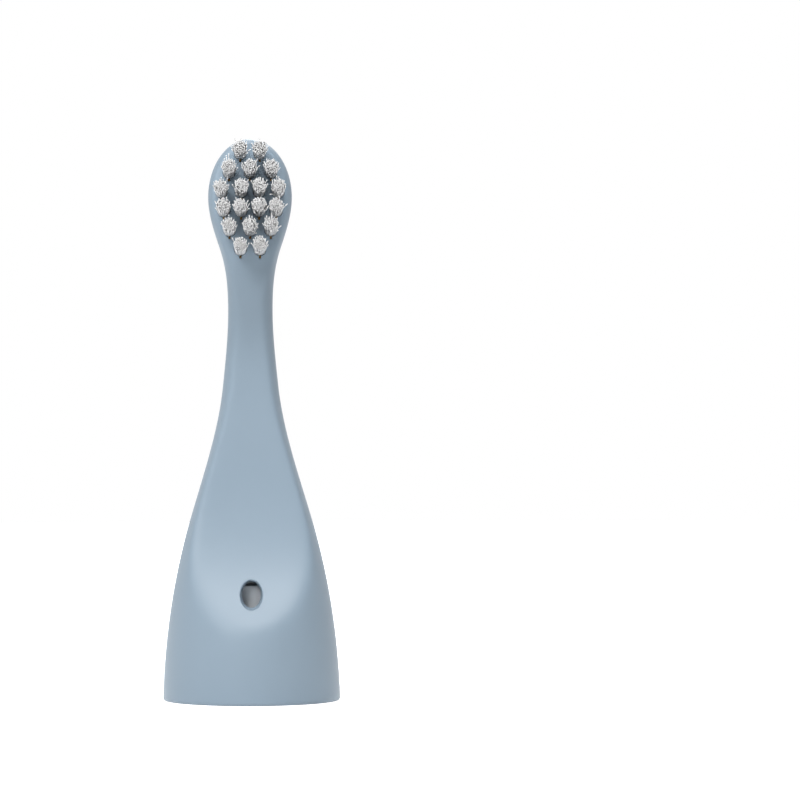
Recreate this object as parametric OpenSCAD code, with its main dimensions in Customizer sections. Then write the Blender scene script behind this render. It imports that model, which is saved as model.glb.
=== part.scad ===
// Brush head for a child's powered toothbrush: one moulded shell with a hollow sleeve,
// a hub for the handle's shaft, and eighteen tufts of filaments held by small anchor plates.
// The origin is the centre of the sleeve's rim. +Z runs up to the tip, the bristles point to -Y.

/* [Sleeve] */
// Outside width of the sleeve at its rim
rim_w = 23.7; // [22:0.1:26]
// Lean of the sleeve's side at the rim, in degrees
rim_lean = 1.7; // [0:0.1:4]
// Radius of the rim's outer edge
rim_r = 0.4; // [0.1:0.05:0.8]
// Wall thickness of the sleeve
wall = 1.4; // [1:0.1:1.8]
// Height from the rim to the middle of the sleeve's taper
sleeve_h = 24; // [21:0.5:30]
// Outside width of the sleeve at the middle of its taper
taper_w = 16.35; // [15:0.05:18]
// Lean of the side there, in degrees
taper_lean = 16.3; // [14:0.1:19]

/* [Neck] */
// Length from the middle of the taper to the foot of the neck
taper_l = 18; // [16:0.5:22]
// Width of the neck at its foot
neck_w = 7.4; // [6.8:0.1:8.4]
// Lean of the side at the foot of the neck, in degrees
neck_lean = 5.9; // [4:0.1:8]
// Length from the foot of the neck to its waist
neck_l = 10; // [8:0.5:14]
// Width of the neck at its waist, the narrowest place
waist_w = 5.95; // [5.5:0.05:6.6]
// Distance from the axis to the back of the waist
waist_back = 2.9; // [2.6:0.05:3.3]
// Distance from the axis to the flat front of the waist
waist_front = 2.5; // [2.3:0.05:2.7]

/* [Scooped front] */
// Height of the lowest point of the scoop's ridge
scoop_foot_z = 10.1; // [8.5:0.1:11]
// Lean of the scoop at its foot, in degrees
scoop_foot_lean = 41.5; // [38:0.5:44]
// Height of the scoop's middle
scoop_mid_z = 22; // [20:0.5:24]
// Distance from the axis to the scoop at its middle
scoop_mid_d = 4.25; // [4:0.05:4.7]
// Lean of the scoop at its middle, in degrees
scoop_mid_lean = 15.6; // [13:0.1:18]
// Distance from the axis to the flat front at the foot of the neck
neck_front = 2.75; // [2.55:0.05:3]
// Sharpness of the ridge between the scoop and the round side
ridge_sharp = 20; // [12:1:24]

/* [Window] */
// Height of the window's centre
window_z = 14.3; // [13.4:0.1:15]
// Width of the oval window
window_w = 2.9; // [2:0.1:3.6]
// Height of the oval window
window_h = 3.8; // [3:0.1:4.4]
// Draft of the window's wall, in degrees
window_draft = 8; // [0:0.5:12]

/* [Bristle plate] */
// Length from the waist to the middle of the shoulder
shoulder_l = 8.4; // [7.5:0.1:10]
// Width at the middle of the shoulder
shoulder_w = 8.15; // [7.8:0.05:8.6]
// Lean of the side there, in degrees
shoulder_lean = 18.7; // [16:0.1:21]
// Length from the middle of the shoulder to the widest point
cheek_l = 6.8; // [6.2:0.1:8]
// Width of the plate
plate_w = 11.2; // [11:0.1:12.5]
// Length from the widest point to the tip
crown_l = 7.8; // [7.4:0.1:9]
// Distance from the axis to the back of the plate
plate_back = 2.7; // [2.5:0.05:3.2]
// Distance from the axis to the front face, where the face begins
face_d = 2.42; // [2.3:0.01:2.5]
// Length from the waist to where the face begins
face_l = 5.5; // [5:0.1:5.8]
// Angle by which the face leans back, in degrees
face_tilt = 3; // [2:0.5:4]
// Sharpness of the face's edge
edge_sharp = 24; // [16:1:30]
// Depth by which the face is levelled
face_skim = 0.02; // [0.01:0.005:0.04]

/* [Tufts] */
// Distance from the tip down to the centres of the top row
top_row_drop = 2; // [1.95:0.05:2.4]
// Distance from row to row
row_pitch = 2.58; // [2.5:0.01:2.62]
// Diameter of a tuft's hole
hole_d = 1.66; // [1.5:0.02:1.7]
// Depth of a tuft's hole
hole_depth = 2.5; // [2.3:0.05:2.6]
// Clearance round a tuft in its hole
tuft_gap = 0.02; // [0.01:0.005:0.04]
// Length of the bristles above the face
bristle_l = 8; // [6:0.1:9]
// Diameter of one filament
filament_d = 0.16; // [0.12:0.01:0.17]
// Margin between the outermost filaments and the edge of the root
root_margin = 0.02; // [0.01:0.005:0.05]
// Widening of a tuft from its foot to its tips
splay = 1.3; // [1.1:0.02:1.4]
// Most by which a filament is cut shorter than the longest
tip_step = 0.7; // [0.2:0.05:1]

/* [Anchors] */
// Length of an anchor plate, along the head
anchor_l = 2.3; // [2:0.05:2.4]
// Thickness of an anchor plate
anchor_t = 0.3; // [0.2:0.02:0.36]
// Height of an anchor plate, along the tuft
anchor_h = 1.3; // [1:0.05:1.4]
// Depth of an anchor's upper edge below the face
anchor_depth = 0.7; // [0.5:0.05:0.8]
// Clearance of an anchor plate in its slit
slit_gap = 0.01; // [0:0.01:0.03]

/* [Hub] */
// Height of the sleeve's roof, where the hub's shoulder seats
roof_z = 19; // [18.4:0.1:19.4]
// Diameter of the hub's body
hub_d = 9.6; // [8:0.1:9.8]
// Height of the hub's body
hub_h = 7; // [6:0.1:7.4]
// Diameter of the hub's collar
collar_d = 6.4; // [6:0.1:6.6]
// Height of the hub's collar
collar_h = 3.5; // [3.3:0.1:4]
// Diameter of the hub's spigot, which is pressed into the shell
spigot_d = 4.8; // [4.2:0.1:4.9]
// Length of the hub's spigot
spigot_l = 7.8; // [6:0.1:8.2]
// Distance from the axis to the flat that keeps the spigot from turning
spigot_flat = 2; // [1.8:0.05:2.1]
// Clearance of the spigot in the shell
spigot_gap = 0.01; // [0:0.01:0.03]
// Diameter of the socket for the shaft
socket_d = 3.5; // [3:0.05:3.6]
// Length of the socket's round part
socket_l = 10.5; // [9:0.5:12]
// Diameter of the socket's keyed end
key_d = 2.8; // [2.4:0.05:3]
// Length of the socket's keyed end
key_l = 6; // [4:0.5:6.5]
// Distance from the axis to the keyed end's flat
key_flat = 0.9; // [0.7:0.05:1.1]
// Chamfer at the mouth of the socket
mouth_chamfer = 0.5; // [0.2:0.05:0.8]
// Thickness of the ribs that steady the hub
rib_t = 1; // [0.8:0.1:1.4]
// Clearance between the ribs and the hub
rib_gap = 0.15; // [0.1:0.05:0.3]
// Height of the ribs' lower edge above the hub's lower face
rib_lift = 1; // [0.5:0.1:2]

/* [Hidden] */
taper_z = sleeve_h;
neck_z = taper_z + taper_l;
waist_z = neck_z + neck_l;
shoulder_z = waist_z + shoulder_l;
plate_z = shoulder_z + cheek_l;
tip_z = plate_z + crown_l;
face_z = waist_z + face_l;
flat_z = (taper_z + neck_z) / 2 + 5;
hub_z = roof_z - collar_h - hub_h;
root_drop = 0.3;
slit_t = anchor_t + 2 * slit_gap;
slit_l = anchor_l + 2 * slit_gap;
slit_depth = anchor_depth + anchor_h + slit_gap;
mouth_d = socket_d + 2 * mouth_chamfer;
root_d = hole_d - 2 * tuft_gap;
root_l = hole_depth - tuft_gap - root_drop;
bundle_r = (root_d - filament_d) / 2 - root_margin;
beyond = 30;

// Outlines of the head: height, distance from the axis, slope
side_line = [
    [0, rim_w / 2, -tan(rim_lean)],
    [taper_z, taper_w / 2, -tan(taper_lean)],
    [neck_z, neck_w / 2, -tan(neck_lean)],
    [waist_z, waist_w / 2, 0],
    [shoulder_z, shoulder_w / 2, tan(shoulder_lean)],
    [plate_z, plate_w / 2, 0],
    [tip_z, plate_w / 2, 0]
];
back_line = [
    [0, rim_w / 2, -tan(rim_lean)],
    [taper_z, taper_w / 2, -tan(taper_lean)],
    [neck_z, neck_w / 2, -tan(neck_lean)],
    [waist_z, waist_back, 0],
    [plate_z, plate_back, 0],
    [tip_z, plate_back, 0]
];
front_line = [
    [scoop_foot_z, reach(side_line, scoop_foot_z), -tan(scoop_foot_lean)],
    [scoop_mid_z, scoop_mid_d, -tan(scoop_mid_lean)],
    [flat_z, neck_front, -0.03],
    [waist_z - 2, waist_front, -0.01],
    [face_z, face_d, -tan(face_tilt)],
    [tip_z, face_d - (tip_z - face_z) * tan(face_tilt), -tan(face_tilt)]
];
// Fullness of the front before the scoop and the face level it
fullness_line = [
    [0, rim_w / 2, -tan(rim_lean)],
    [taper_z, taper_w / 2, -tan(taper_lean)],
    [neck_z, neck_w / 2, -tan(neck_lean)],
    [waist_z, waist_w / 2, 0],
    [shoulder_z, shoulder_w / 2, 0.05],
    [plate_z, (face_d + plate_back) * 0.7, 0],
    [tip_z, (face_d + plate_back) * 0.66, 0]
];

// Half-widths of the tuft rows from the tip down, one number for each pair and 0 for a middle tuft
tuft_rows = [[1.3], [0, 2.8], [1.2, 3.8], [1.2, 3.5], [0, 2.75], [1.3]];
tuft_spots = [
    for (row = [0 : len(tuft_rows) - 1])
        for (x = row_places(tuft_rows[row]))
            [x, (tip_z - top_row_drop - face_z) / cos(face_tilt) - row * row_pitch]
];
tuft_count = len(tuft_spots);

side_faces = 56;
ring_step = 1.35;
rim_rings = 3;
crown_rings = 12;
wall_steps = 10;
round_faces = 48;
filament_faces = 32;
filament_count = 37;

function tuft_name(i) = str("tuft_", i < 9 ? "0" : "", i + 1);

// Places across one row, from left to right
function row_places(row) = concat(
    [for (i = [len(row) - 1 : -1 : 0]) if (row[i] > 0) -row[i]],
    [for (x = row) x]
);

// Distance of an outline from the axis at height z, as a smooth curve through its stations
function reach(line, z) =
    let (i = span_at(line, z), a = line[i], b = line[i + 1], h = b[0] - a[0], t = (z - a[0]) / h)
    t < 0 ? a[1] + a[2] * (z - a[0]) :
    (1 + 2 * t) * pow(1 - t, 2) * a[1] + t * pow(1 - t, 2) * h * a[2]
    + t * t * (3 - 2 * t) * b[1] + t * t * (t - 1) * h * b[2];
function span_at(line, z, i = 0) = i >= len(line) - 2 || z < line[i + 1][0] ? i : span_at(line, z, i + 1);
function slope(line, z) = (reach(line, z + 0.05) - reach(line, z - 0.05)) / 0.1;

function ease(t) = let (u = max(0, min(1, t))) u * u * (3 - 2 * u);
function rim_inset(z) = z < rim_r ? rim_r - sqrt(rim_r * rim_r - pow(rim_r - z, 2)) : 0;
function crown(z) = z < plate_z ? 1 : sqrt(max(0, 1 - pow((z - plate_z) / crown_l, 2)));
function sharpness(z) = ridge_sharp + (edge_sharp - ridge_sharp) * ease((z - flat_z) / (face_z - flat_z));

// One point of the shell's section at height z: 0 degrees is the front, 90 the right side
function skin_point(z, angle) =
    let (
        wide = reach(side_line, z) * crown(z) - rim_inset(z),
        back = reach(back_line, z) * pow(crown(z), 0.8) - rim_inset(z),
        full = reach(fullness_line, z) * pow(crown(z), 0.8) - rim_inset(z),
        level = reach(front_line, z),
        sharp = sharpness(z),
        squareness = 2 + 0.5 * ease((z - waist_z) / (plate_z - waist_z)),
        x = wide * sin(angle),
        y = cos(angle) * (cos(angle) > 0 ? min(level, full) : back),
        k = y > 0
            ? pow(pow(norm([x / wide, y / full]), sharp) + pow(y / level, sharp), -1 / sharp)
            : pow(pow(abs(x / wide), squareness) + pow(abs(y / back), squareness), -1 / squareness)
    )
    [x * k, -y * k, z];

function ring_heights() = concat(
    [for (i = [0 : rim_rings - 1]) rim_r * (1 - cos(90 * i / rim_rings))],
    let (steps = ceil((plate_z - rim_r) / ring_step))
        [for (i = [0 : steps]) rim_r + (plate_z - rim_r) * i / steps],
    [for (i = [1 : crown_rings]) plate_z + crown_l * sin(87 * i / crown_rings)]
);

module skin() {
    heights = ring_heights();
    rings = len(heights);
    points = [for (z = heights) for (i = [0 : side_faces - 1]) skin_point(z, i * 360 / side_faces)];
    sides = [
        for (r = [0 : rings - 2])
            for (i = [0 : side_faces - 1])
                let (
                    a = r * side_faces + i,
                    b = r * side_faces + (i + 1) % side_faces,
                    c = b + side_faces,
                    d = a + side_faces
                )
                each [[a, d, b], [b, d, c]]
    ];
    foot = [for (i = [0 : side_faces - 1]) i];
    top = [for (i = [side_faces - 1 : -1 : 0]) (rings - 1) * side_faces + i];
    polyhedron(points, concat([foot], sides, [top]), convexity = 6);
}

// Places children on the face: X across, Z up along the face, -Y out of it
module on_face() {
    translate([0, -face_d, face_z])
        rotate([-face_tilt, 0, 0])
            translate([0, face_skim, 0])
                children();
}

module oval(width, height) {
    polygon([
        for (i = [0 : round_faces - 1])
            let (angle = i * 360 / round_faces)
            [width / 2 * cos(angle), height / 2 * sin(angle)]
    ]);
}

// Hollow of the sleeve: the round outline less the wall, kept behind the scoop's wall
module sleeve_hollow() {
    heights = [for (i = [0 : wall_steps]) roof_z * i / wall_steps];
    round_wall = [for (z = heights) [reach(side_line, z) - wall, z]];
    scoop_wall = [
        for (z = heights)
            [-reach(front_line, z) + wall * norm([1, slope(front_line, z)]), z]
    ];
    intersection() {
        rotate_extrude($fn = 96)
            polygon(concat([[0, -1], [round_wall[0][0], -1]], round_wall, [[0, roof_z]]));
        rotate([90, 0, 90])
            linear_extrude(height = 2 * beyond, center = true)
                polygon(concat([[beyond, -1], [scoop_wall[0][0], -1]], scoop_wall, [[beyond, roof_z]]));
    }
}

module hub_ribs() {
    rib_z = hub_z + rib_lift;
    for (angle = [45 : 90 : 315])
        rotate([0, 0, angle])
            translate([hub_d / 2 + rib_gap, -rib_t / 2, rib_z])
                cube([beyond, rib_t, beyond]);
}

// Widens outwards by its draft, and has its stated size at the scoop's surface
module window_cut() {
    surface = reach(front_line, window_z);
    inward = wall * 2.5;
    outward = wall * 2;
    inner_w = window_w - 2 * inward * tan(window_draft);
    inner_h = window_h - 2 * inward * tan(window_draft);
    outer_w = window_w + 2 * outward * tan(window_draft);
    outer_h = window_h + 2 * outward * tan(window_draft);
    translate([0, -surface + inward, window_z])
        rotate([90, 0, 0])
            linear_extrude(height = inward + outward, scale = [outer_w / inner_w, outer_h / inner_h])
                oval(inner_w, inner_h);
}

module spigot(gap) {
    difference() {
        cylinder(d = spigot_d + 2 * gap, h = spigot_l + gap, $fn = round_faces);
        translate([-spigot_d, spigot_flat + gap, -1])
            cube([2 * spigot_d, spigot_d, spigot_l + 2]);
    }
}

module tuft_hole(spot) {
    on_face()
        translate([spot[0], 0, spot[1]]) {
            rotate([-90, 0, 0])
                translate([0, 0, -1])
                    cylinder(d = hole_d, h = hole_depth + 1, $fn = round_faces);
            translate([-slit_t / 2, -1, -slit_l / 2])
                cube([slit_t, slit_depth + 1, slit_l]);
        }
}
module head_shell() {
    color([0.66, 0.75, 0.8])
        difference() {
            skin();
            on_face()
                translate([-beyond, -beyond, 0])
                    cube([2 * beyond, beyond, beyond]);
            difference() {
                sleeve_hollow();
                hub_ribs();
            }
            translate([0, 0, roof_z])
                spigot(spigot_gap);
            window_cut();
            for (spot = tuft_spots)
                tuft_hole(spot);
        }
}

module drive_hub() {
    color([0.82, 0.83, 0.83])
        translate([0, 0, hub_z])
            difference() {
                union() {
                    cylinder(d = hub_d, h = hub_h, $fn = 96);
                    cylinder(d = collar_d, h = hub_h + collar_h, $fn = 96);
                    translate([0, 0, hub_h + collar_h])
                        spigot(0);
                }
                translate([0, 0, -1])
                    cylinder(d = socket_d, h = socket_l + 1, $fn = round_faces);
                cylinder(d1 = mouth_d, d2 = socket_d, h = mouth_chamfer, $fn = round_faces);
                difference() {
                    cylinder(d = key_d, h = socket_l + key_l, $fn = round_faces);
                    translate([-key_d, key_flat, -1])
                        cube([2 * key_d, key_d, beyond]);
                }
            }
}

module anchor_plate() {
    translate([-anchor_t / 2, anchor_depth, -anchor_l / 2])
        cube([anchor_t, anchor_h, anchor_l]);
}

module tuft_anchors() {
    color([0.55, 0.42, 0.22])
        on_face()
            for (spot = tuft_spots)
                translate([spot[0], 0, spot[1]])
                    anchor_plate();
}

// A straight round filament from one point to another
module filament(from, to) {
    along = to - from;
    translate(from)
        rotate([0, acos(along[2] / norm(along)), atan2(along[1], along[0])])
            cylinder(d = filament_d, h = norm(along), $fn = filament_faces);
}

// The filaments of a tuft spread from its root in an even spiral, and their tips are of uneven length
module tuft(i) {
    cuts = rands(0, 1, filament_count, 40 + i);
    color([0.95, 0.95, 0.95])
        on_face()
            translate([tuft_spots[i][0], 0, tuft_spots[i][1]]) {
                difference() {
                    rotate([-90, 0, 0])
                        translate([0, 0, root_drop])
                            cylinder(d = root_d, h = root_l, $fn = round_faces);
                    translate([-anchor_t / 2 - tuft_gap, anchor_depth - tuft_gap, -hole_d])
                        cube([anchor_t + 2 * tuft_gap, anchor_h + 2 * tuft_gap, 2 * hole_d]);
                }
                for (k = [0 : filament_count - 1])
                    let (
                        r = bundle_r * sqrt((k + 0.5) / filament_count),
                        angle = k * 137.508,
                        tall = bristle_l - tip_step * cuts[k]
                    )
                    filament(
                        [r * cos(angle), root_drop + 0.1, r * sin(angle)],
                        [r * splay * cos(angle), -tall, r * splay * sin(angle)]
                    );
            }
}

head_shell();
drive_hub();
tuft_anchors();
for (i = [0 : tuft_count - 1])
    tuft(i);
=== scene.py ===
import math
import random

import bmesh
import bpy
import numpy as np
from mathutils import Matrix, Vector


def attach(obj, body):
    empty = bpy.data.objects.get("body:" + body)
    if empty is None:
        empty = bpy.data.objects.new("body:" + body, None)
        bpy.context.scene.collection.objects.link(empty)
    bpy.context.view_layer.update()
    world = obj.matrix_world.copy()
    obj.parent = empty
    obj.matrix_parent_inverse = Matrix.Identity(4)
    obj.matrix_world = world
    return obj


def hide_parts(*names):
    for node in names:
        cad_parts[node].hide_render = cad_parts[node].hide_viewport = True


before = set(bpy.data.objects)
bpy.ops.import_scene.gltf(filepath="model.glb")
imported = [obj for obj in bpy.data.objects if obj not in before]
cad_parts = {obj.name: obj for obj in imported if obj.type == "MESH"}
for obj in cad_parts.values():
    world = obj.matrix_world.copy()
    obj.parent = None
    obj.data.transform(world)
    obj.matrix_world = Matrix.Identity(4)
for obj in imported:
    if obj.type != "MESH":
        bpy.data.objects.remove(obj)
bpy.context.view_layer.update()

MM = 0.001

# Camera: straight on to the bristles at half the head's height, half a metre away.
# The head stands left of the picture's middle, so the lens is shifted to the right.
CAMERA_DISTANCE = 500 * MM
CAMERA_HEIGHT = 37 * MM
CAMERA_ROLL = math.radians(0.2)
LENS_MM = 168.2
SHIFT_RIGHT = 0.1865
SHIFT_UP = 0.029

camera_data = bpy.data.cameras.new("camera")
camera_data.lens = LENS_MM
camera_data.sensor_width = 36
camera_data.shift_x = SHIFT_RIGHT
camera_data.shift_y = SHIFT_UP
camera_data.clip_start = 0.01
camera = bpy.data.objects.new("camera", camera_data)
camera.location = (0, -CAMERA_DISTANCE, CAMERA_HEIGHT)
camera.rotation_euler = (math.radians(90), CAMERA_ROLL, 0)
bpy.context.collection.objects.link(camera)
bpy.context.scene.camera = camera
bpy.context.scene.view_settings.view_transform = "Standard"


# Studio: soft lamps in front, above, on the left and behind, in a dim grey room. The floor and
# the room are white to the camera and in reflections, so the head stands on a white ground.
LAMP_DISTANCE = 0.75
LAMP_SIZE = 0.30
KEY = {"azimuth": -26, "elevation": 34, "power": 1.95}
TOP = {"azimuth": 0, "elevation": 64, "power": 3.5}
SIDE = {"azimuth": -65, "elevation": 30, "power": 0.6}
BACK = {"azimuth": 170, "elevation": 40, "power": 2.4}
ROOM_GREY = 0.12
FLOOR_RADIUS = 0.9
FLOOR_GREY = 0.9
FLOOR_GLOW = 0.85


def lamp(name, azimuth, elevation, power):
    """A round soft lamp, aimed at the middle of the head. Azimuth 0 is the camera's side."""
    turn, rise = math.radians(azimuth), math.radians(elevation)
    data = bpy.data.lights.new(name, "AREA")
    data.shape = "DISK"
    data.size = LAMP_SIZE
    data.energy = power
    light = bpy.data.objects.new(name, data)
    aim = Vector((math.sin(turn) * math.cos(rise), -math.cos(turn) * math.cos(rise), math.sin(rise)))
    light.location = Vector((0, 0, CAMERA_HEIGHT)) + aim * LAMP_DISTANCE
    light.rotation_euler = aim.to_track_quat("Z", "Y").to_euler()
    bpy.context.collection.objects.link(light)


def white_ground_seen(nodes, links):
    """1 for the rays to which the ground is white: the camera's, reflected and refracted ones."""
    seen = nodes.new("ShaderNodeLightPath")
    first = nodes.new("ShaderNodeMath")
    first.operation = "MAXIMUM"
    second = nodes.new("ShaderNodeMath")
    second.operation = "MAXIMUM"
    links.new(seen.outputs["Is Camera Ray"], first.inputs[0])
    links.new(seen.outputs["Is Glossy Ray"], first.inputs[1])
    links.new(first.outputs[0], second.inputs[0])
    links.new(seen.outputs["Is Transmission Ray"], second.inputs[1])
    return second.outputs[0]


lamp("key_lamp", **KEY)
lamp("top_lamp", **TOP)
lamp("side_lamp", **SIDE)
lamp("back_lamp", **BACK)

world = bpy.data.worlds.new("room")
bpy.context.scene.world = world
world.use_nodes = True
nodes = world.node_tree.nodes
links = world.node_tree.links
nodes.clear()
grey = nodes.new("ShaderNodeBackground")
grey.inputs["Color"].default_value = (ROOM_GREY, ROOM_GREY, ROOM_GREY, 1)
white = nodes.new("ShaderNodeBackground")
white.inputs["Color"].default_value = (1, 1, 1, 1)
either = nodes.new("ShaderNodeMixShader")
out = nodes.new("ShaderNodeOutputWorld")
links.new(white_ground_seen(nodes, links), either.inputs["Fac"])
links.new(grey.outputs[0], either.inputs[1])
links.new(white.outputs[0], either.inputs[2])
links.new(either.outputs[0], out.inputs["Surface"])

floor_mesh = bpy.data.meshes.new("floor")
ground = bmesh.new()
bmesh.ops.create_circle(ground, cap_ends=True, segments=96, radius=FLOOR_RADIUS)
ground.to_mesh(floor_mesh)
ground.free()
floor = bpy.data.objects.new("floor", floor_mesh)
bpy.context.collection.objects.link(floor)

floor_paint = bpy.data.materials.new("floor_paint")
floor_paint.use_nodes = True
nodes = floor_paint.node_tree.nodes
links = floor_paint.node_tree.links
nodes.clear()
matt = nodes.new("ShaderNodeBsdfDiffuse")
matt.inputs["Color"].default_value = (FLOOR_GREY, FLOOR_GREY, FLOOR_GREY, 1)
glow = nodes.new("ShaderNodeEmission")
glow.inputs["Color"].default_value = (1, 1, 1, 1)
glow.inputs["Strength"].default_value = FLOOR_GLOW
both = nodes.new("ShaderNodeAddShader")
either = nodes.new("ShaderNodeMixShader")
out = nodes.new("ShaderNodeOutputMaterial")
links.new(matt.outputs[0], both.inputs[0])
links.new(glow.outputs[0], both.inputs[1])
links.new(white_ground_seen(nodes, links), either.inputs["Fac"])
links.new(matt.outputs[0], either.inputs[1])
links.new(both.outputs[0], either.inputs[2])
links.new(either.outputs[0], out.inputs["Surface"])
floor.data.materials.append(floor_paint)


# Head shell: one moulding of blue-grey polypropylene, with the hollow sleeve, the scooped front,
# the oval window, the neck and the bristle plate. Its surface is lofted through four outlines,
# and the window is let into that surface with a rounded edge.
RIM_R = 0.4
WALL = 1.4
WAIST_Z = 52.0
NAPE_Z = 60.4
FLAT_Z = 38.0
PLATE_Z = 67.2
CROWN_L = 7.8
TIP_Z = PLATE_Z + CROWN_L
FACE_Z = 57.5
FACE_D = 2.42
FACE_TILT = math.radians(3)
SCOOP_FOOT_Z = 10.1
ROOF_Z = 19.0
RIDGE_SHARP = 20
EDGE_SHARP = 20
COLUMNS = 192
RING_STEP = 0.34

# Outlines as (height, distance from the axis, slope), in millimetres
SLEEVE_STATIONS = [
    (0, 11.85, -math.tan(math.radians(1.7))),
    (24, 8.175, -math.tan(math.radians(16.3))),
    (42, 3.7, -math.tan(math.radians(5.9))),
]
SIDE_LINE = SLEEVE_STATIONS + [
    (WAIST_Z, 2.975, 0),
    (NAPE_Z, 4.075, math.tan(math.radians(18.7))),
    (PLATE_Z, 5.6, 0),
    (TIP_Z, 5.6, 0),
]
BACK_LINE = SLEEVE_STATIONS + [(WAIST_Z, 2.9, 0), (PLATE_Z, 2.7, 0), (TIP_Z, 2.7, 0)]
FULLNESS_LINE = SLEEVE_STATIONS + [
    (WAIST_Z, 2.975, 0),
    (NAPE_Z, 4.075, 0.05),
    (PLATE_Z, 3.584, 0),
    (TIP_Z, 3.38, 0),
]


def reach(line, z):
    """Distance of an outline from the axis at the heights z, as a smooth curve through its stations."""
    z = np.asarray(z, float)
    tops = np.array([station[0] for station in line[1:-1]])
    at = np.searchsorted(tops, z, side="right")
    table = np.array(line, float)
    low, high = table[at], table[at + 1]
    span = high[..., 0] - low[..., 0]
    t = (z - low[..., 0]) / span
    curve = (
        (1 + 2 * t) * (1 - t) ** 2 * low[..., 1] + t * (1 - t) ** 2 * span * low[..., 2]
        + t * t * (3 - 2 * t) * high[..., 1] + t * t * (t - 1) * span * high[..., 2]
    )
    return np.where(t < 0, low[..., 1] + low[..., 2] * (z - low[..., 0]), curve)


FRONT_LINE = [
    (SCOOP_FOOT_Z, float(reach(SIDE_LINE, SCOOP_FOOT_Z)), -math.tan(math.radians(41.5))),
    (22, 4.25, -math.tan(math.radians(15.6))),
    (FLAT_Z, 2.75, -0.03),
    (WAIST_Z - 2, 2.5, -0.01),
    (FACE_Z, FACE_D, -math.tan(FACE_TILT)),
    (TIP_Z, FACE_D - (TIP_Z - FACE_Z) * math.tan(FACE_TILT), -math.tan(FACE_TILT)),
]


def ease(t):
    """A smooth step from 0 to 1."""
    t = np.clip(t, 0, 1)
    return t * t * (3 - 2 * t)


def section(z, angle, inset=0.0, scoop_inset=0.0):
    """Points of the shell's section at height z. Angle 0 is the front, a quarter turn the right."""
    z, angle = np.broadcast_arrays(np.asarray(z, float), np.asarray(angle, float))
    crown = np.sqrt(np.clip(1 - (np.maximum(z - PLATE_Z, 0) / CROWN_L) ** 2, 0, 1))
    rim = np.where(z < RIM_R, RIM_R - np.sqrt(np.clip(RIM_R ** 2 - (RIM_R - z) ** 2, 0, None)), 0)
    rim = np.where(inset > 0, 0, rim) + inset
    wide = reach(SIDE_LINE, z) * crown - rim
    back = reach(BACK_LINE, z) * crown ** 0.8 - rim
    full = reach(FULLNESS_LINE, z) * crown ** 0.8 - rim
    level = reach(FRONT_LINE, z) - scoop_inset
    sharp = RIDGE_SHARP + (EDGE_SHARP - RIDGE_SHARP) * ease((z - FLAT_Z) / (FACE_Z - FLAT_Z))
    square = 2 + 0.5 * ease((z - WAIST_Z) / (PLATE_Z - WAIST_Z))
    x = wide * np.sin(angle)
    forward = np.cos(angle) > 0
    y = np.cos(angle) * np.where(forward, np.minimum(level, full), back)
    front_gauge = (np.hypot(x / wide, y / full) ** sharp + (np.abs(y) / level) ** sharp) ** (1 / sharp)
    back_gauge = (np.abs(x / wide) ** square + np.abs(y / back) ** square) ** (1 / square)
    k = 1 / np.where(forward, front_gauge, back_gauge)
    return np.stack([x * k, -y * k, z], axis=-1)


def solid(name, points, faces):
    """A mesh object from points in millimetres."""
    mesh = bpy.data.meshes.new(name)
    mesh.from_pydata([tuple(p) for p in np.asarray(points) * MM], [], faces)
    piece = bpy.data.objects.new(name, mesh)
    bpy.context.collection.objects.link(piece)
    return piece


WINDOW_Z = 14.3
WINDOW_W = 2.9
WINDOW_H = 3.8
WINDOW_DRAFT = math.radians(8)
WINDOW_EDGE_R = 0.16
WINDOW_DEPTH = 3.5
PATCH_COLUMNS = 9
PATCH_ROWS = 10
PATCH_RINGS = 9
EDGE_STEPS = 5
TUNNEL_STEPS = 6

turn = 2 * math.pi / COLUMNS
low_rows = np.arange(RIM_R, WINDOW_Z - PATCH_ROWS * RING_STEP - 0.1, RING_STEP)
patch_rows = WINDOW_Z + RING_STEP * np.arange(-PATCH_ROWS, PATCH_ROWS + 1)
high_count = math.ceil((PLATE_Z - patch_rows[-1]) / RING_STEP)
high_rows = patch_rows[-1] + (PLATE_Z - patch_rows[-1]) * np.arange(1, high_count + 1) / high_count
rim_rows = RIM_R * (1 - np.cos(np.radians([0, 18, 36, 54, 72])))
crown_rows = PLATE_Z + CROWN_L * np.sin(np.radians(np.append(np.arange(2.5, 80, 2.5), [81, 83, 85, 87])))
heights = np.concatenate([rim_rows, low_rows, patch_rows, high_rows, crown_rows])
angles = turn * np.arange(COLUMNS)
grid = section(heights[:, None], angles[None, :])
rings = len(heights)
points = list(grid.reshape(-1, 3))
first_patch_ring = len(rim_rows) + len(low_rows)
last_patch_ring = first_patch_ring + 2 * PATCH_ROWS


def grid_index(ring, column):
    """Where the point of this ring and column stands in the list of points."""
    return ring * COLUMNS + column % COLUMNS


faces = []
for ring in range(rings - 1):
    in_patch_rows = first_patch_ring <= ring < last_patch_ring
    for column in range(COLUMNS):
        signed = column if column < COLUMNS // 2 else column - COLUMNS
        if in_patch_rows and -PATCH_COLUMNS <= signed < PATCH_COLUMNS:
            continue
        faces.append((
            grid_index(ring, column), grid_index(ring, column + 1),
            grid_index(ring + 1, column + 1), grid_index(ring + 1, column),
        ))
faces.append(tuple(grid_index(0, column) for column in reversed(range(COLUMNS))))
faces.append(tuple(grid_index(rings - 1, column) for column in range(COLUMNS)))

# The patch's border, anticlockwise as seen from the front, as (ring, column) of the grid
border = (
    [(first_patch_ring, c) for c in range(-PATCH_COLUMNS, PATCH_COLUMNS)]
    + [(r, PATCH_COLUMNS) for r in range(first_patch_ring, last_patch_ring)]
    + [(last_patch_ring, c) for c in range(PATCH_COLUMNS, -PATCH_COLUMNS, -1)]
    + [(r, -PATCH_COLUMNS) for r in range(last_patch_ring, first_patch_ring, -1)]
)


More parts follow.
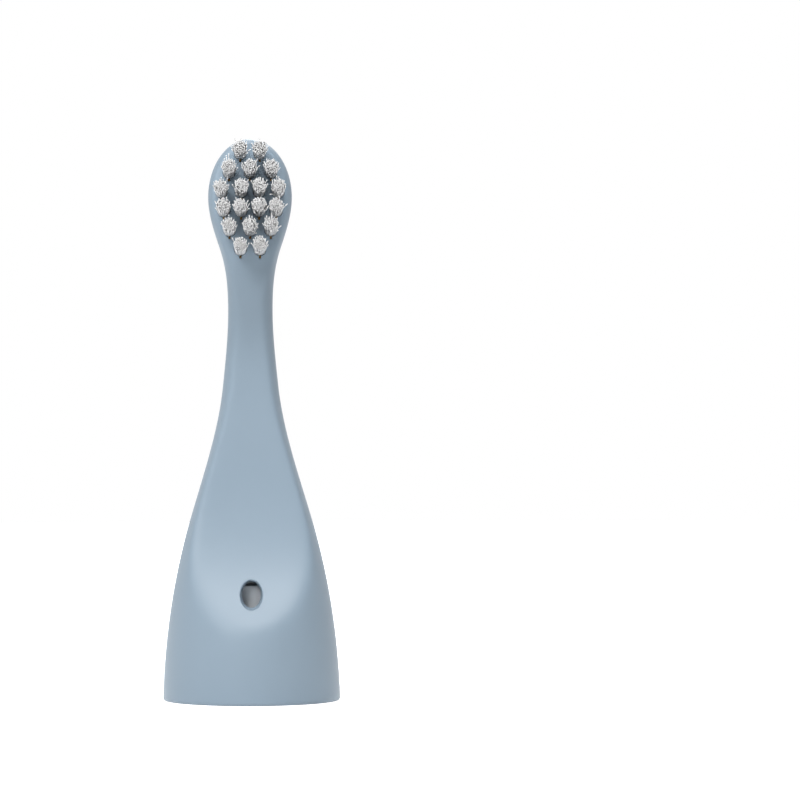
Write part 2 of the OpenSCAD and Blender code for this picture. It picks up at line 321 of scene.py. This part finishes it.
def angle_for_x(x, z):
    """The section angle at which the front surface has this x at height z."""
    low, high = -1.2, 1.2
    for _ in range(40):
        middle = (low + high) / 2
        if section(z, middle)[0] < x:
            low = middle
        else:
            high = middle
    return (low + high) / 2


def surface_normal(z, angle):
    """The outward direction of the front surface at this height and section angle."""
    across = section(z, angle + 0.002) - section(z, angle - 0.002)
    up = section(z + 0.02, angle) - section(z - 0.02, angle)
    normal = np.cross(across, up)
    return normal / np.linalg.norm(normal)


loops = []
for ring, column in border:
    corner_angle, corner_z = column * turn, heights[ring]
    corner = section(corner_z, corner_angle)
    around = math.atan2((corner[2] - WINDOW_Z) / WINDOW_H, corner[0] / WINDOW_W)
    oval = np.array([WINDOW_W / 2 * math.cos(around), WINDOW_H / 2 * math.sin(around)])
    inward = -np.array([math.cos(around) / WINDOW_W, 0, math.sin(around) / WINDOW_H])
    inward /= np.linalg.norm(inward)
    edge_z = WINDOW_Z + oval[1]
    edge_angle = angle_for_x(oval[0], edge_z)
    edge = section(edge_z, edge_angle)
    normal = surface_normal(edge_z, edge_angle)
    centre = edge - WINDOW_EDGE_R * (normal + inward) / (1 + normal @ inward)
    start = centre + WINDOW_EDGE_R * normal
    start_z = start[2]
    start_angle = angle_for_x(start[0], start_z)
    loop = []
    for step in range(1, PATCH_RINGS + 1):
        t = step / PATCH_RINGS
        t = t * (1.6 - 0.6 * t)
        z = corner_z + (start_z - corner_z) * t
        angle = corner_angle + (start_angle - corner_angle) * t
        loop.append(section(z, angle))
    bend = math.acos(float(np.clip(normal @ inward, -1, 1)))
    for step in range(1, EDGE_STEPS + 1):
        t = step / EDGE_STEPS
        aim = (math.sin((1 - t) * bend) * normal + math.sin(t * bend) * inward) / math.sin(bend)
        loop.append(centre + WINDOW_EDGE_R * aim)
    last = loop[-1]
    for step in range(1, TUNNEL_STEPS + 1):
        depth = WINDOW_DEPTH * step / TUNNEL_STEPS
        loop.append(last + np.array([0, depth, 0]) + inward * depth * math.tan(WINDOW_DRAFT))
    loops.append(loop)

start_index = len(points)
loop_length = len(loops[0])
for loop in loops:
    points.extend(loop)


def patch_index(around, step):
    """The same for the window: step -1 is the patch's border, and higher steps lead inwards."""
    around %= len(border)
    if step < 0:
        ring, column = border[around]
        return grid_index(ring, column)
    return start_index + around * loop_length + step


for around in range(len(border)):
    for step in range(-1, loop_length - 1):
        faces.append((
            patch_index(around, step), patch_index(around + 1, step),
            patch_index(around + 1, step + 1), patch_index(around, step + 1),
        ))
faces.append(tuple(patch_index(around, loop_length - 1) for around in range(len(border))))
head_shell = solid("head_shell_moulding", points, faces)

# What is taken out of the moulding: the sleeve's hollow, with its four ribs left standing,
# the pocket for the hub's spigot, and a hole with two anchor slits for each tuft.
HUB_D = 9.6
HUB_Z = 8.5
HOLLOW_ROWS = 40
HOLLOW_COLUMNS = 128
RIB_GAP = 0.15
RIB_T = 1.0
RIB_LIFT = 1.0
SPIGOT_D = 4.8
SPIGOT_L = 7.8
SPIGOT_FLAT = 2.0
HOLE_D = 1.66
HOLE_DEPTH = 2.5
HOLE_EDGE = 0.05
HOLE_SIDES = 48
ANCHOR_L = 2.3
ANCHOR_T = 0.3
SLIT_GAP = 0.01
ROW_PITCH = 2.58
TOP_ROW_DROP = 2.0
TUFT_ROWS = [[1.3], [0, 2.8], [1.2, 3.8], [1.2, 3.5], [0, 2.75], [1.3]]
FACE_OUT = np.array([0, -math.cos(FACE_TILT), math.sin(FACE_TILT)])
FACE_UP = np.array([0, math.sin(FACE_TILT), math.cos(FACE_TILT)])
FACE_FOOT = np.array([0, -FACE_D, FACE_Z])

tuft_spots = []
for row, half_widths in enumerate(TUFT_ROWS):
    up = (TIP_Z - TOP_ROW_DROP - FACE_Z) / math.cos(FACE_TILT) - row * ROW_PITCH
    for x in sorted({side * width for width in half_widths for side in (-1, 1)}):
        tuft_spots.append((x, up))


def on_face(across, out, up):
    """A point from the plate's face: across the head, out of the face, and up along it."""
    return FACE_FOOT + np.array([across, 0, 0]) + FACE_OUT * out + FACE_UP * up


def stack(name, rings_of_points):
    """A closed mesh through rings of as many points each."""
    count = len(rings_of_points[0])
    skin = []
    for ring in range(len(rings_of_points) - 1):
        for i in range(count):
            a, b = ring * count + i, ring * count + (i + 1) % count
            skin.append((a, b, b + count, a + count))
    skin.append(tuple(reversed(range(count))))
    skin.append(tuple((len(rings_of_points) - 1) * count + i for i in range(count)))
    return solid(name, np.concatenate(rings_of_points), skin)


def cut(piece, tool):
    """Cuts the tool's shape out of the piece, and removes the tool."""
    knife = piece.modifiers.new("knife", "BOOLEAN")
    knife.operation = "DIFFERENCE"
    knife.solver = "EXACT"
    knife.object = tool
    bpy.context.view_layer.update()
    shape = bpy.data.meshes.new_from_object(piece.evaluated_get(bpy.context.evaluated_depsgraph_get()))
    piece.modifiers.clear()
    old = piece.data
    piece.data = shape
    bpy.data.meshes.remove(old)
    bpy.data.objects.remove(tool)


hollow_rows = np.concatenate([[-1.0], np.linspace(0, ROOF_Z, HOLLOW_ROWS)])
hollow_angles = np.linspace(0, 2 * math.pi, HOLLOW_COLUMNS, endpoint=False)
scoop_slope = (reach(FRONT_LINE, hollow_rows + 0.05) - reach(FRONT_LINE, hollow_rows - 0.05)) / 0.1
hollow = stack("hollow", [
    section(z, hollow_angles, inset=WALL, scoop_inset=WALL * math.hypot(1, s))
    for z, s in zip(hollow_rows, scoop_slope)
])
for quarter in range(4):
    turned = math.radians(45 + 90 * quarter)
    along = np.array([math.cos(turned), math.sin(turned), 0])
    side = np.array([-math.sin(turned), math.cos(turned), 0]) * RIB_T / 2
    inner, outer = along * (HUB_D / 2 + RIB_GAP), along * 2 * HUB_D
    foot, head = np.array([0, 0, HUB_Z + RIB_LIFT]), np.array([0, 0, ROOF_Z + 1])
    outline = [inner - side, outer - side, outer + side, inner + side]
    cut(hollow, stack("rib", [np.array([p + foot for p in outline]), np.array([p + head for p in outline])]))
cut(head_shell, hollow)


def round_ring(radius, z, flat=None, count=64):
    """A horizontal ring, with a flat across it at y = flat."""
    a = np.linspace(0, 2 * math.pi, count, endpoint=False)
    y = radius * np.sin(a)
    if flat is not None:
        y = np.minimum(y, flat)
    return np.stack([radius * np.cos(a), y, np.full(count, z)], axis=1)


cut(head_shell, stack("pocket", [
    round_ring(SPIGOT_D / 2, ROOF_Z - 0.5, SPIGOT_FLAT),
    round_ring(SPIGOT_D / 2, ROOF_Z + SPIGOT_L, SPIGOT_FLAT),
]))

hole_points = []
hole_faces = []
for x, up in tuft_spots:
    outline = []
    for i in range(HOLE_SIDES):
        a = 2 * math.pi * (i + 0.5) / HOLE_SIDES
        outline.append((HOLE_D / 2 * math.cos(a), HOLE_D / 2 * math.sin(a)))
    slit_half = ANCHOR_T / 2 + SLIT_GAP
    slit_end = ANCHOR_L / 2 + SLIT_GAP
    meet = math.sqrt((HOLE_D / 2) ** 2 - slit_half ** 2)
    upper = [(slit_half, meet), (slit_half, slit_end), (-slit_half, slit_end), (-slit_half, meet)]
    lower = [(-slit_half, -meet), (-slit_half, -slit_end), (slit_half, -slit_end), (slit_half, -meet)]
    right = [p for p in outline if abs(p[0]) > slit_half + 0.01 and p[0] > 0]
    left = [p for p in outline if abs(p[0]) > slit_half + 0.01 and p[0] < 0]
    right.sort(key=lambda p: p[1])
    left.sort(key=lambda p: -p[1])
    outline = np.array(right + upper + left + lower)
    flare = outline * (1 + HOLE_EDGE / (HOLE_D / 2))
    base = len(hole_points)
    count = len(outline)
    for out, shape in ((1.0, flare), (0.0, flare), (-HOLE_EDGE, outline), (-HOLE_DEPTH, outline)):
        hole_points.extend(on_face(x + p[0], out, up + p[1]) for p in shape)
    for ring in range(3):
        for i in range(count):
            a, b = base + ring * count + i, base + ring * count + (i + 1) % count
            hole_faces.append((a, a + count, b + count, b))
    hole_faces.append(tuple(base + i for i in range(count)))
    hole_faces.append(tuple(base + 3 * count + i for i in reversed(range(count))))
holes = solid("holes", hole_points, hole_faces)
cut(head_shell, holes)

SHELL_CREASE = math.radians(38)
for polygon in head_shell.data.polygons:
    polygon.use_smooth = True
head_shell.data.set_sharp_from_angle(angle=SHELL_CREASE)

shell_plastic = bpy.data.materials.new("shell_plastic")
shell_plastic.use_nodes = True
nodes = shell_plastic.node_tree.nodes
links = shell_plastic.node_tree.links
skin = nodes["Principled BSDF"]
skin.inputs["Roughness"].default_value = 0.45
skin.inputs["Specular IOR Level"].default_value = 0.5
skin.inputs["IOR"].default_value = 1.49
place = nodes.new("ShaderNodeTexCoord")
cloud = nodes.new("ShaderNodeTexNoise")
cloud.inputs["Scale"].default_value = 90
cloud.inputs["Detail"].default_value = 3
tint = nodes.new("ShaderNodeMix")
tint.data_type = "RGBA"
tint.inputs[6].default_value = (0.262, 0.344, 0.424, 1)
tint.inputs[7].default_value = (0.282, 0.364, 0.442, 1)
links.new(place.outputs["Object"], cloud.inputs["Vector"])
links.new(cloud.outputs["Fac"], tint.inputs[0])
links.new(tint.outputs[2], skin.inputs["Base Color"])
grain = nodes.new("ShaderNodeTexNoise")
grain.inputs["Scale"].default_value = 9000
grain.inputs["Detail"].default_value = 2
bump = nodes.new("ShaderNodeBump")
bump.inputs["Strength"].default_value = 0.12
bump.inputs["Distance"].default_value = 0.00002
links.new(place.outputs["Object"], grain.inputs["Vector"])
links.new(grain.outputs["Fac"], bump.inputs["Height"])
links.new(bump.outputs["Normal"], skin.inputs["Normal"])
head_shell.data.materials.clear()
head_shell.data.materials.append(shell_plastic)
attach(head_shell, "root")
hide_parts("head_shell")


# Drive hub: a round insert of light grey acetal, pressed into the shell by its spigot.
# The handle's shaft goes into its socket, and its body shows behind the window.
HUB_EDGE = 0.25
EDGE_MIDDLE = 0.29
HUB_CREASE = math.radians(30)
BODY_H = 7.0
COLLAR_D = 6.4
SOCKET_D = 3.5
SOCKET_L = 10.5
KEY_D = 2.8
KEY_L = 6.0
KEY_FLAT = 0.9
MOUTH_CHAMFER = 0.5
BODY_TOP = HUB_Z + BODY_H

drive_hub = stack("drive_hub_insert", [
    round_ring(KEY_D / 2, HUB_Z + SOCKET_L + KEY_L, KEY_FLAT),
    round_ring(KEY_D / 2, HUB_Z + SOCKET_L, KEY_FLAT),
    round_ring(SOCKET_D / 2, HUB_Z + SOCKET_L),
    round_ring(SOCKET_D / 2, HUB_Z + MOUTH_CHAMFER),
    round_ring(SOCKET_D / 2 + MOUTH_CHAMFER, HUB_Z),
    round_ring(HUB_D / 2 - HUB_EDGE, HUB_Z),
    round_ring(HUB_D / 2 - HUB_EDGE * EDGE_MIDDLE, HUB_Z + HUB_EDGE * EDGE_MIDDLE),
    round_ring(HUB_D / 2, HUB_Z + HUB_EDGE),
    round_ring(HUB_D / 2, BODY_TOP - HUB_EDGE),
    round_ring(HUB_D / 2 - HUB_EDGE * EDGE_MIDDLE, BODY_TOP - HUB_EDGE * EDGE_MIDDLE),
    round_ring(HUB_D / 2 - HUB_EDGE, BODY_TOP),
    round_ring(COLLAR_D / 2, BODY_TOP),
    round_ring(COLLAR_D / 2, ROOF_Z),
    round_ring(SPIGOT_D / 2, ROOF_Z, SPIGOT_FLAT),
    round_ring(SPIGOT_D / 2, ROOF_Z + SPIGOT_L - HUB_EDGE, SPIGOT_FLAT),
    round_ring(SPIGOT_D / 2 - HUB_EDGE, ROOF_Z + SPIGOT_L, SPIGOT_FLAT - HUB_EDGE),
])
drive_hub.data.flip_normals()
for polygon in drive_hub.data.polygons:
    polygon.use_smooth = True
drive_hub.data.set_sharp_from_angle(angle=HUB_CREASE)

hub_plastic = bpy.data.materials.new("hub_plastic")
hub_plastic.use_nodes = True
nodes = hub_plastic.node_tree.nodes
links = hub_plastic.node_tree.links
skin = nodes["Principled BSDF"]
skin.inputs["Roughness"].default_value = 0.45
place = nodes.new("ShaderNodeTexCoord")
cloud = nodes.new("ShaderNodeTexNoise")
cloud.inputs["Scale"].default_value = 400
tint = nodes.new("ShaderNodeMix")
tint.data_type = "RGBA"
tint.inputs[6].default_value = (0.74, 0.77, 0.80, 1)
tint.inputs[7].default_value = (0.80, 0.83, 0.86, 1)
links.new(place.outputs["Object"], cloud.inputs["Vector"])
links.new(cloud.outputs["Fac"], tint.inputs[0])
links.new(tint.outputs[2], skin.inputs["Base Color"])
drive_hub.data.materials.append(hub_plastic)
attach(drive_hub, "root")
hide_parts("drive_hub")


# Anchors: small stamped brass plates, one folded round by each tuft's filaments and driven
# into the plastic. Their ends show in the slit under each tuft, in a brass colour darkened with painted
# shade.
ANCHOR_H = 1.3
ANCHOR_DEPTH = 0.7
ANCHOR_EDGE = 0.04

plates = bmesh.new()
for x, up in tuft_spots:
    corners = {}
    for a in (-1, 1):
        for d in (0, 1):
            for u in (-1, 1):
                place_mm = on_face(x + a * ANCHOR_T / 2, -ANCHOR_DEPTH - d * ANCHOR_H, up + u * ANCHOR_L / 2)
                corners[a, d, u] = plates.verts.new(place_mm * MM)
    for quad in (
        [(-1, 0, -1), (1, 0, -1), (1, 0, 1), (-1, 0, 1)],
        [(-1, 1, -1), (-1, 1, 1), (1, 1, 1), (1, 1, -1)],
        [(-1, 0, -1), (-1, 0, 1), (-1, 1, 1), (-1, 1, -1)],
        [(1, 0, -1), (1, 1, -1), (1, 1, 1), (1, 0, 1)],
        [(-1, 0, -1), (-1, 1, -1), (1, 1, -1), (1, 0, -1)],
        [(-1, 0, 1), (1, 0, 1), (1, 1, 1), (-1, 1, 1)],
    ):
        plates.faces.new([corners[key] for key in quad])
bmesh.ops.bevel(plates, geom=plates.edges[:], offset=ANCHOR_EDGE * MM, segments=2, affect="EDGES")
bmesh.ops.recalc_face_normals(plates, faces=plates.faces[:])
anchor_mesh = bpy.data.meshes.new("tuft_anchor_plates")
plates.to_mesh(anchor_mesh)
plates.free()
tuft_anchors = bpy.data.objects.new("tuft_anchor_plates", anchor_mesh)
bpy.context.collection.objects.link(tuft_anchors)

anchor_brass = bpy.data.materials.new("anchor_brass")
anchor_brass.use_nodes = True
nodes = anchor_brass.node_tree.nodes
links = anchor_brass.node_tree.links
skin = nodes["Principled BSDF"]
skin.inputs["Metallic"].default_value = 1.0
skin.inputs["Roughness"].default_value = 0.5
place = nodes.new("ShaderNodeTexCoord")
mottle = nodes.new("ShaderNodeTexNoise")
mottle.inputs["Scale"].default_value = 2500
tint = nodes.new("ShaderNodeMix")
tint.data_type = "RGBA"
# Brass hue, painted much darker than bright brass as painted shade for the deep slit; the noise mixes the
# two tones at random.
tint.inputs[6].default_value = (0.22, 0.13, 0.06, 1)
tint.inputs[7].default_value = (0.40, 0.26, 0.11, 1)
links.new(place.outputs["Object"], mottle.inputs["Vector"])
links.new(mottle.outputs["Fac"], tint.inputs[0])
links.new(tint.outputs[2], skin.inputs["Base Color"])
tuft_anchors.data.materials.append(anchor_brass)
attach(tuft_anchors, "root")
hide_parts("tuft_anchors")


# Tufts: bundles of white nylon filaments, folded round their anchors and trimmed by a cutter,
# so the tips are uneven, spread a little and fray at the rim of each bundle.
BRISTLE_L = 8.0
FILAMENT_D = 0.15
FILAMENTS = 112
FILAMENT_SIDES = 5
FILAMENT_RINGS = 6
ROOT_R = 0.73
TIP_R = 0.86
TIP_STEP = 0.45
FRAY = 0.18
STRAY_SHARE = 0.02
ROOT_DEPTH = 2.4
LEAN = 0.06
DRIFT = 0.025
STRAY_LEAST, STRAY_MOST = 0.25, 0.6
TIP_TAPER = 0.9
SPIRAL_TURN = math.radians(137.508)
FIRST_SEED = 700

bristle_nylon = bpy.data.materials.new("bristle_nylon")
bristle_nylon.use_nodes = True
nodes = bristle_nylon.node_tree.nodes
links = bristle_nylon.node_tree.links
skin = nodes["Principled BSDF"]
skin.inputs["Roughness"].default_value = 0.38
skin.inputs["Specular IOR Level"].default_value = 0.5
skin.inputs["Subsurface Weight"].default_value = 0.8
skin.inputs["Subsurface Scale"].default_value = 1.0
skin.inputs["Subsurface Radius"].default_value = (0.0004, 0.0004, 0.0004)
place = nodes.new("ShaderNodeTexCoord")
cloud = nodes.new("ShaderNodeTexNoise")
cloud.inputs["Scale"].default_value = 900
tint = nodes.new("ShaderNodeMix")
tint.data_type = "RGBA"
tint.inputs[6].default_value = (0.95, 0.95, 0.95, 1)
tint.inputs[7].default_value = (0.99, 0.99, 0.99, 1)
links.new(place.outputs["Object"], cloud.inputs["Vector"])
links.new(cloud.outputs["Fac"], tint.inputs[0])
links.new(tint.outputs[2], skin.inputs["Base Color"])


def filament_ring(centre, along, radius):
    """A ring of points round a filament's centre line."""
    side = np.cross(along, [0.0, 0.0, 1.0])
    side /= np.linalg.norm(side)
    other = np.cross(along, side)
    turns = [2 * math.pi * i / FILAMENT_SIDES for i in range(FILAMENT_SIDES)]
    return [centre + radius * (math.cos(a) * side + math.sin(a) * other) for a in turns]


for number, (x, up) in enumerate(tuft_spots, start=1):
    chance = random.Random(FIRST_SEED + number)
    tuft_points = []
    tuft_faces = []
    lean = np.array([chance.gauss(0, LEAN), chance.gauss(0, LEAN)])
    for k in range(FILAMENTS):
        share = math.sqrt((k + 0.5) / FILAMENTS)
        a = k * SPIRAL_TURN
        aim = np.array([math.cos(a), math.sin(a)])
        root = aim * ROOT_R * share
        fray = abs(chance.gauss(0, FRAY)) * share ** 3
        if chance.random() < STRAY_SHARE:
            fray += chance.uniform(STRAY_LEAST, STRAY_MOST) * share
        drift = np.array([chance.gauss(0, DRIFT), chance.gauss(0, DRIFT)]) * (1 + 2 * share ** 4)
        straight = aim * TIP_R * share + lean
        tip = straight + drift + fray * aim
        tall = BRISTLE_L - TIP_STEP * chance.random() ** 1.5 - 0.3 * fray - 0.2 * share ** 2
        centres = []
        for ring in range(FILAMENT_RINGS):
            t = ring / (FILAMENT_RINGS - 1)
            offset = root * (1 - t) + straight * t + (tip - straight) * t ** 2.5
            centres.append(on_face(x + offset[0], -ROOT_DEPTH + (tall + ROOT_DEPTH) * t, up + offset[1]))
        base = len(tuft_points)
        for ring, centre in enumerate(centres):
            ahead = centres[min(ring + 1, FILAMENT_RINGS - 1)] - centres[max(ring - 1, 0)]
            ahead /= np.linalg.norm(ahead)
            radius = FILAMENT_D / 2 * (TIP_TAPER if ring == FILAMENT_RINGS - 1 else 1)
            tuft_points.extend(filament_ring(centre, ahead, radius))
        for ring in range(FILAMENT_RINGS - 1):
            for i in range(FILAMENT_SIDES):
                p = base + ring * FILAMENT_SIDES + i
                q = base + ring * FILAMENT_SIDES + (i + 1) % FILAMENT_SIDES
                tuft_faces.append((p, p + FILAMENT_SIDES, q + FILAMENT_SIDES, q))
        tuft_faces.append(tuple(base + i for i in range(FILAMENT_SIDES)))
        last = base + (FILAMENT_RINGS - 1) * FILAMENT_SIDES
        tuft_faces.append(tuple(last + i for i in reversed(range(FILAMENT_SIDES))))
    tuft = solid(f"tuft_{number:02d}_filaments", tuft_points, tuft_faces)
    for polygon in tuft.data.polygons:
        polygon.use_smooth = len(polygon.vertices) == 4
    tuft.data.materials.append(bristle_nylon)
    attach(tuft, "root")
    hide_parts(f"tuft_{number:02d}")
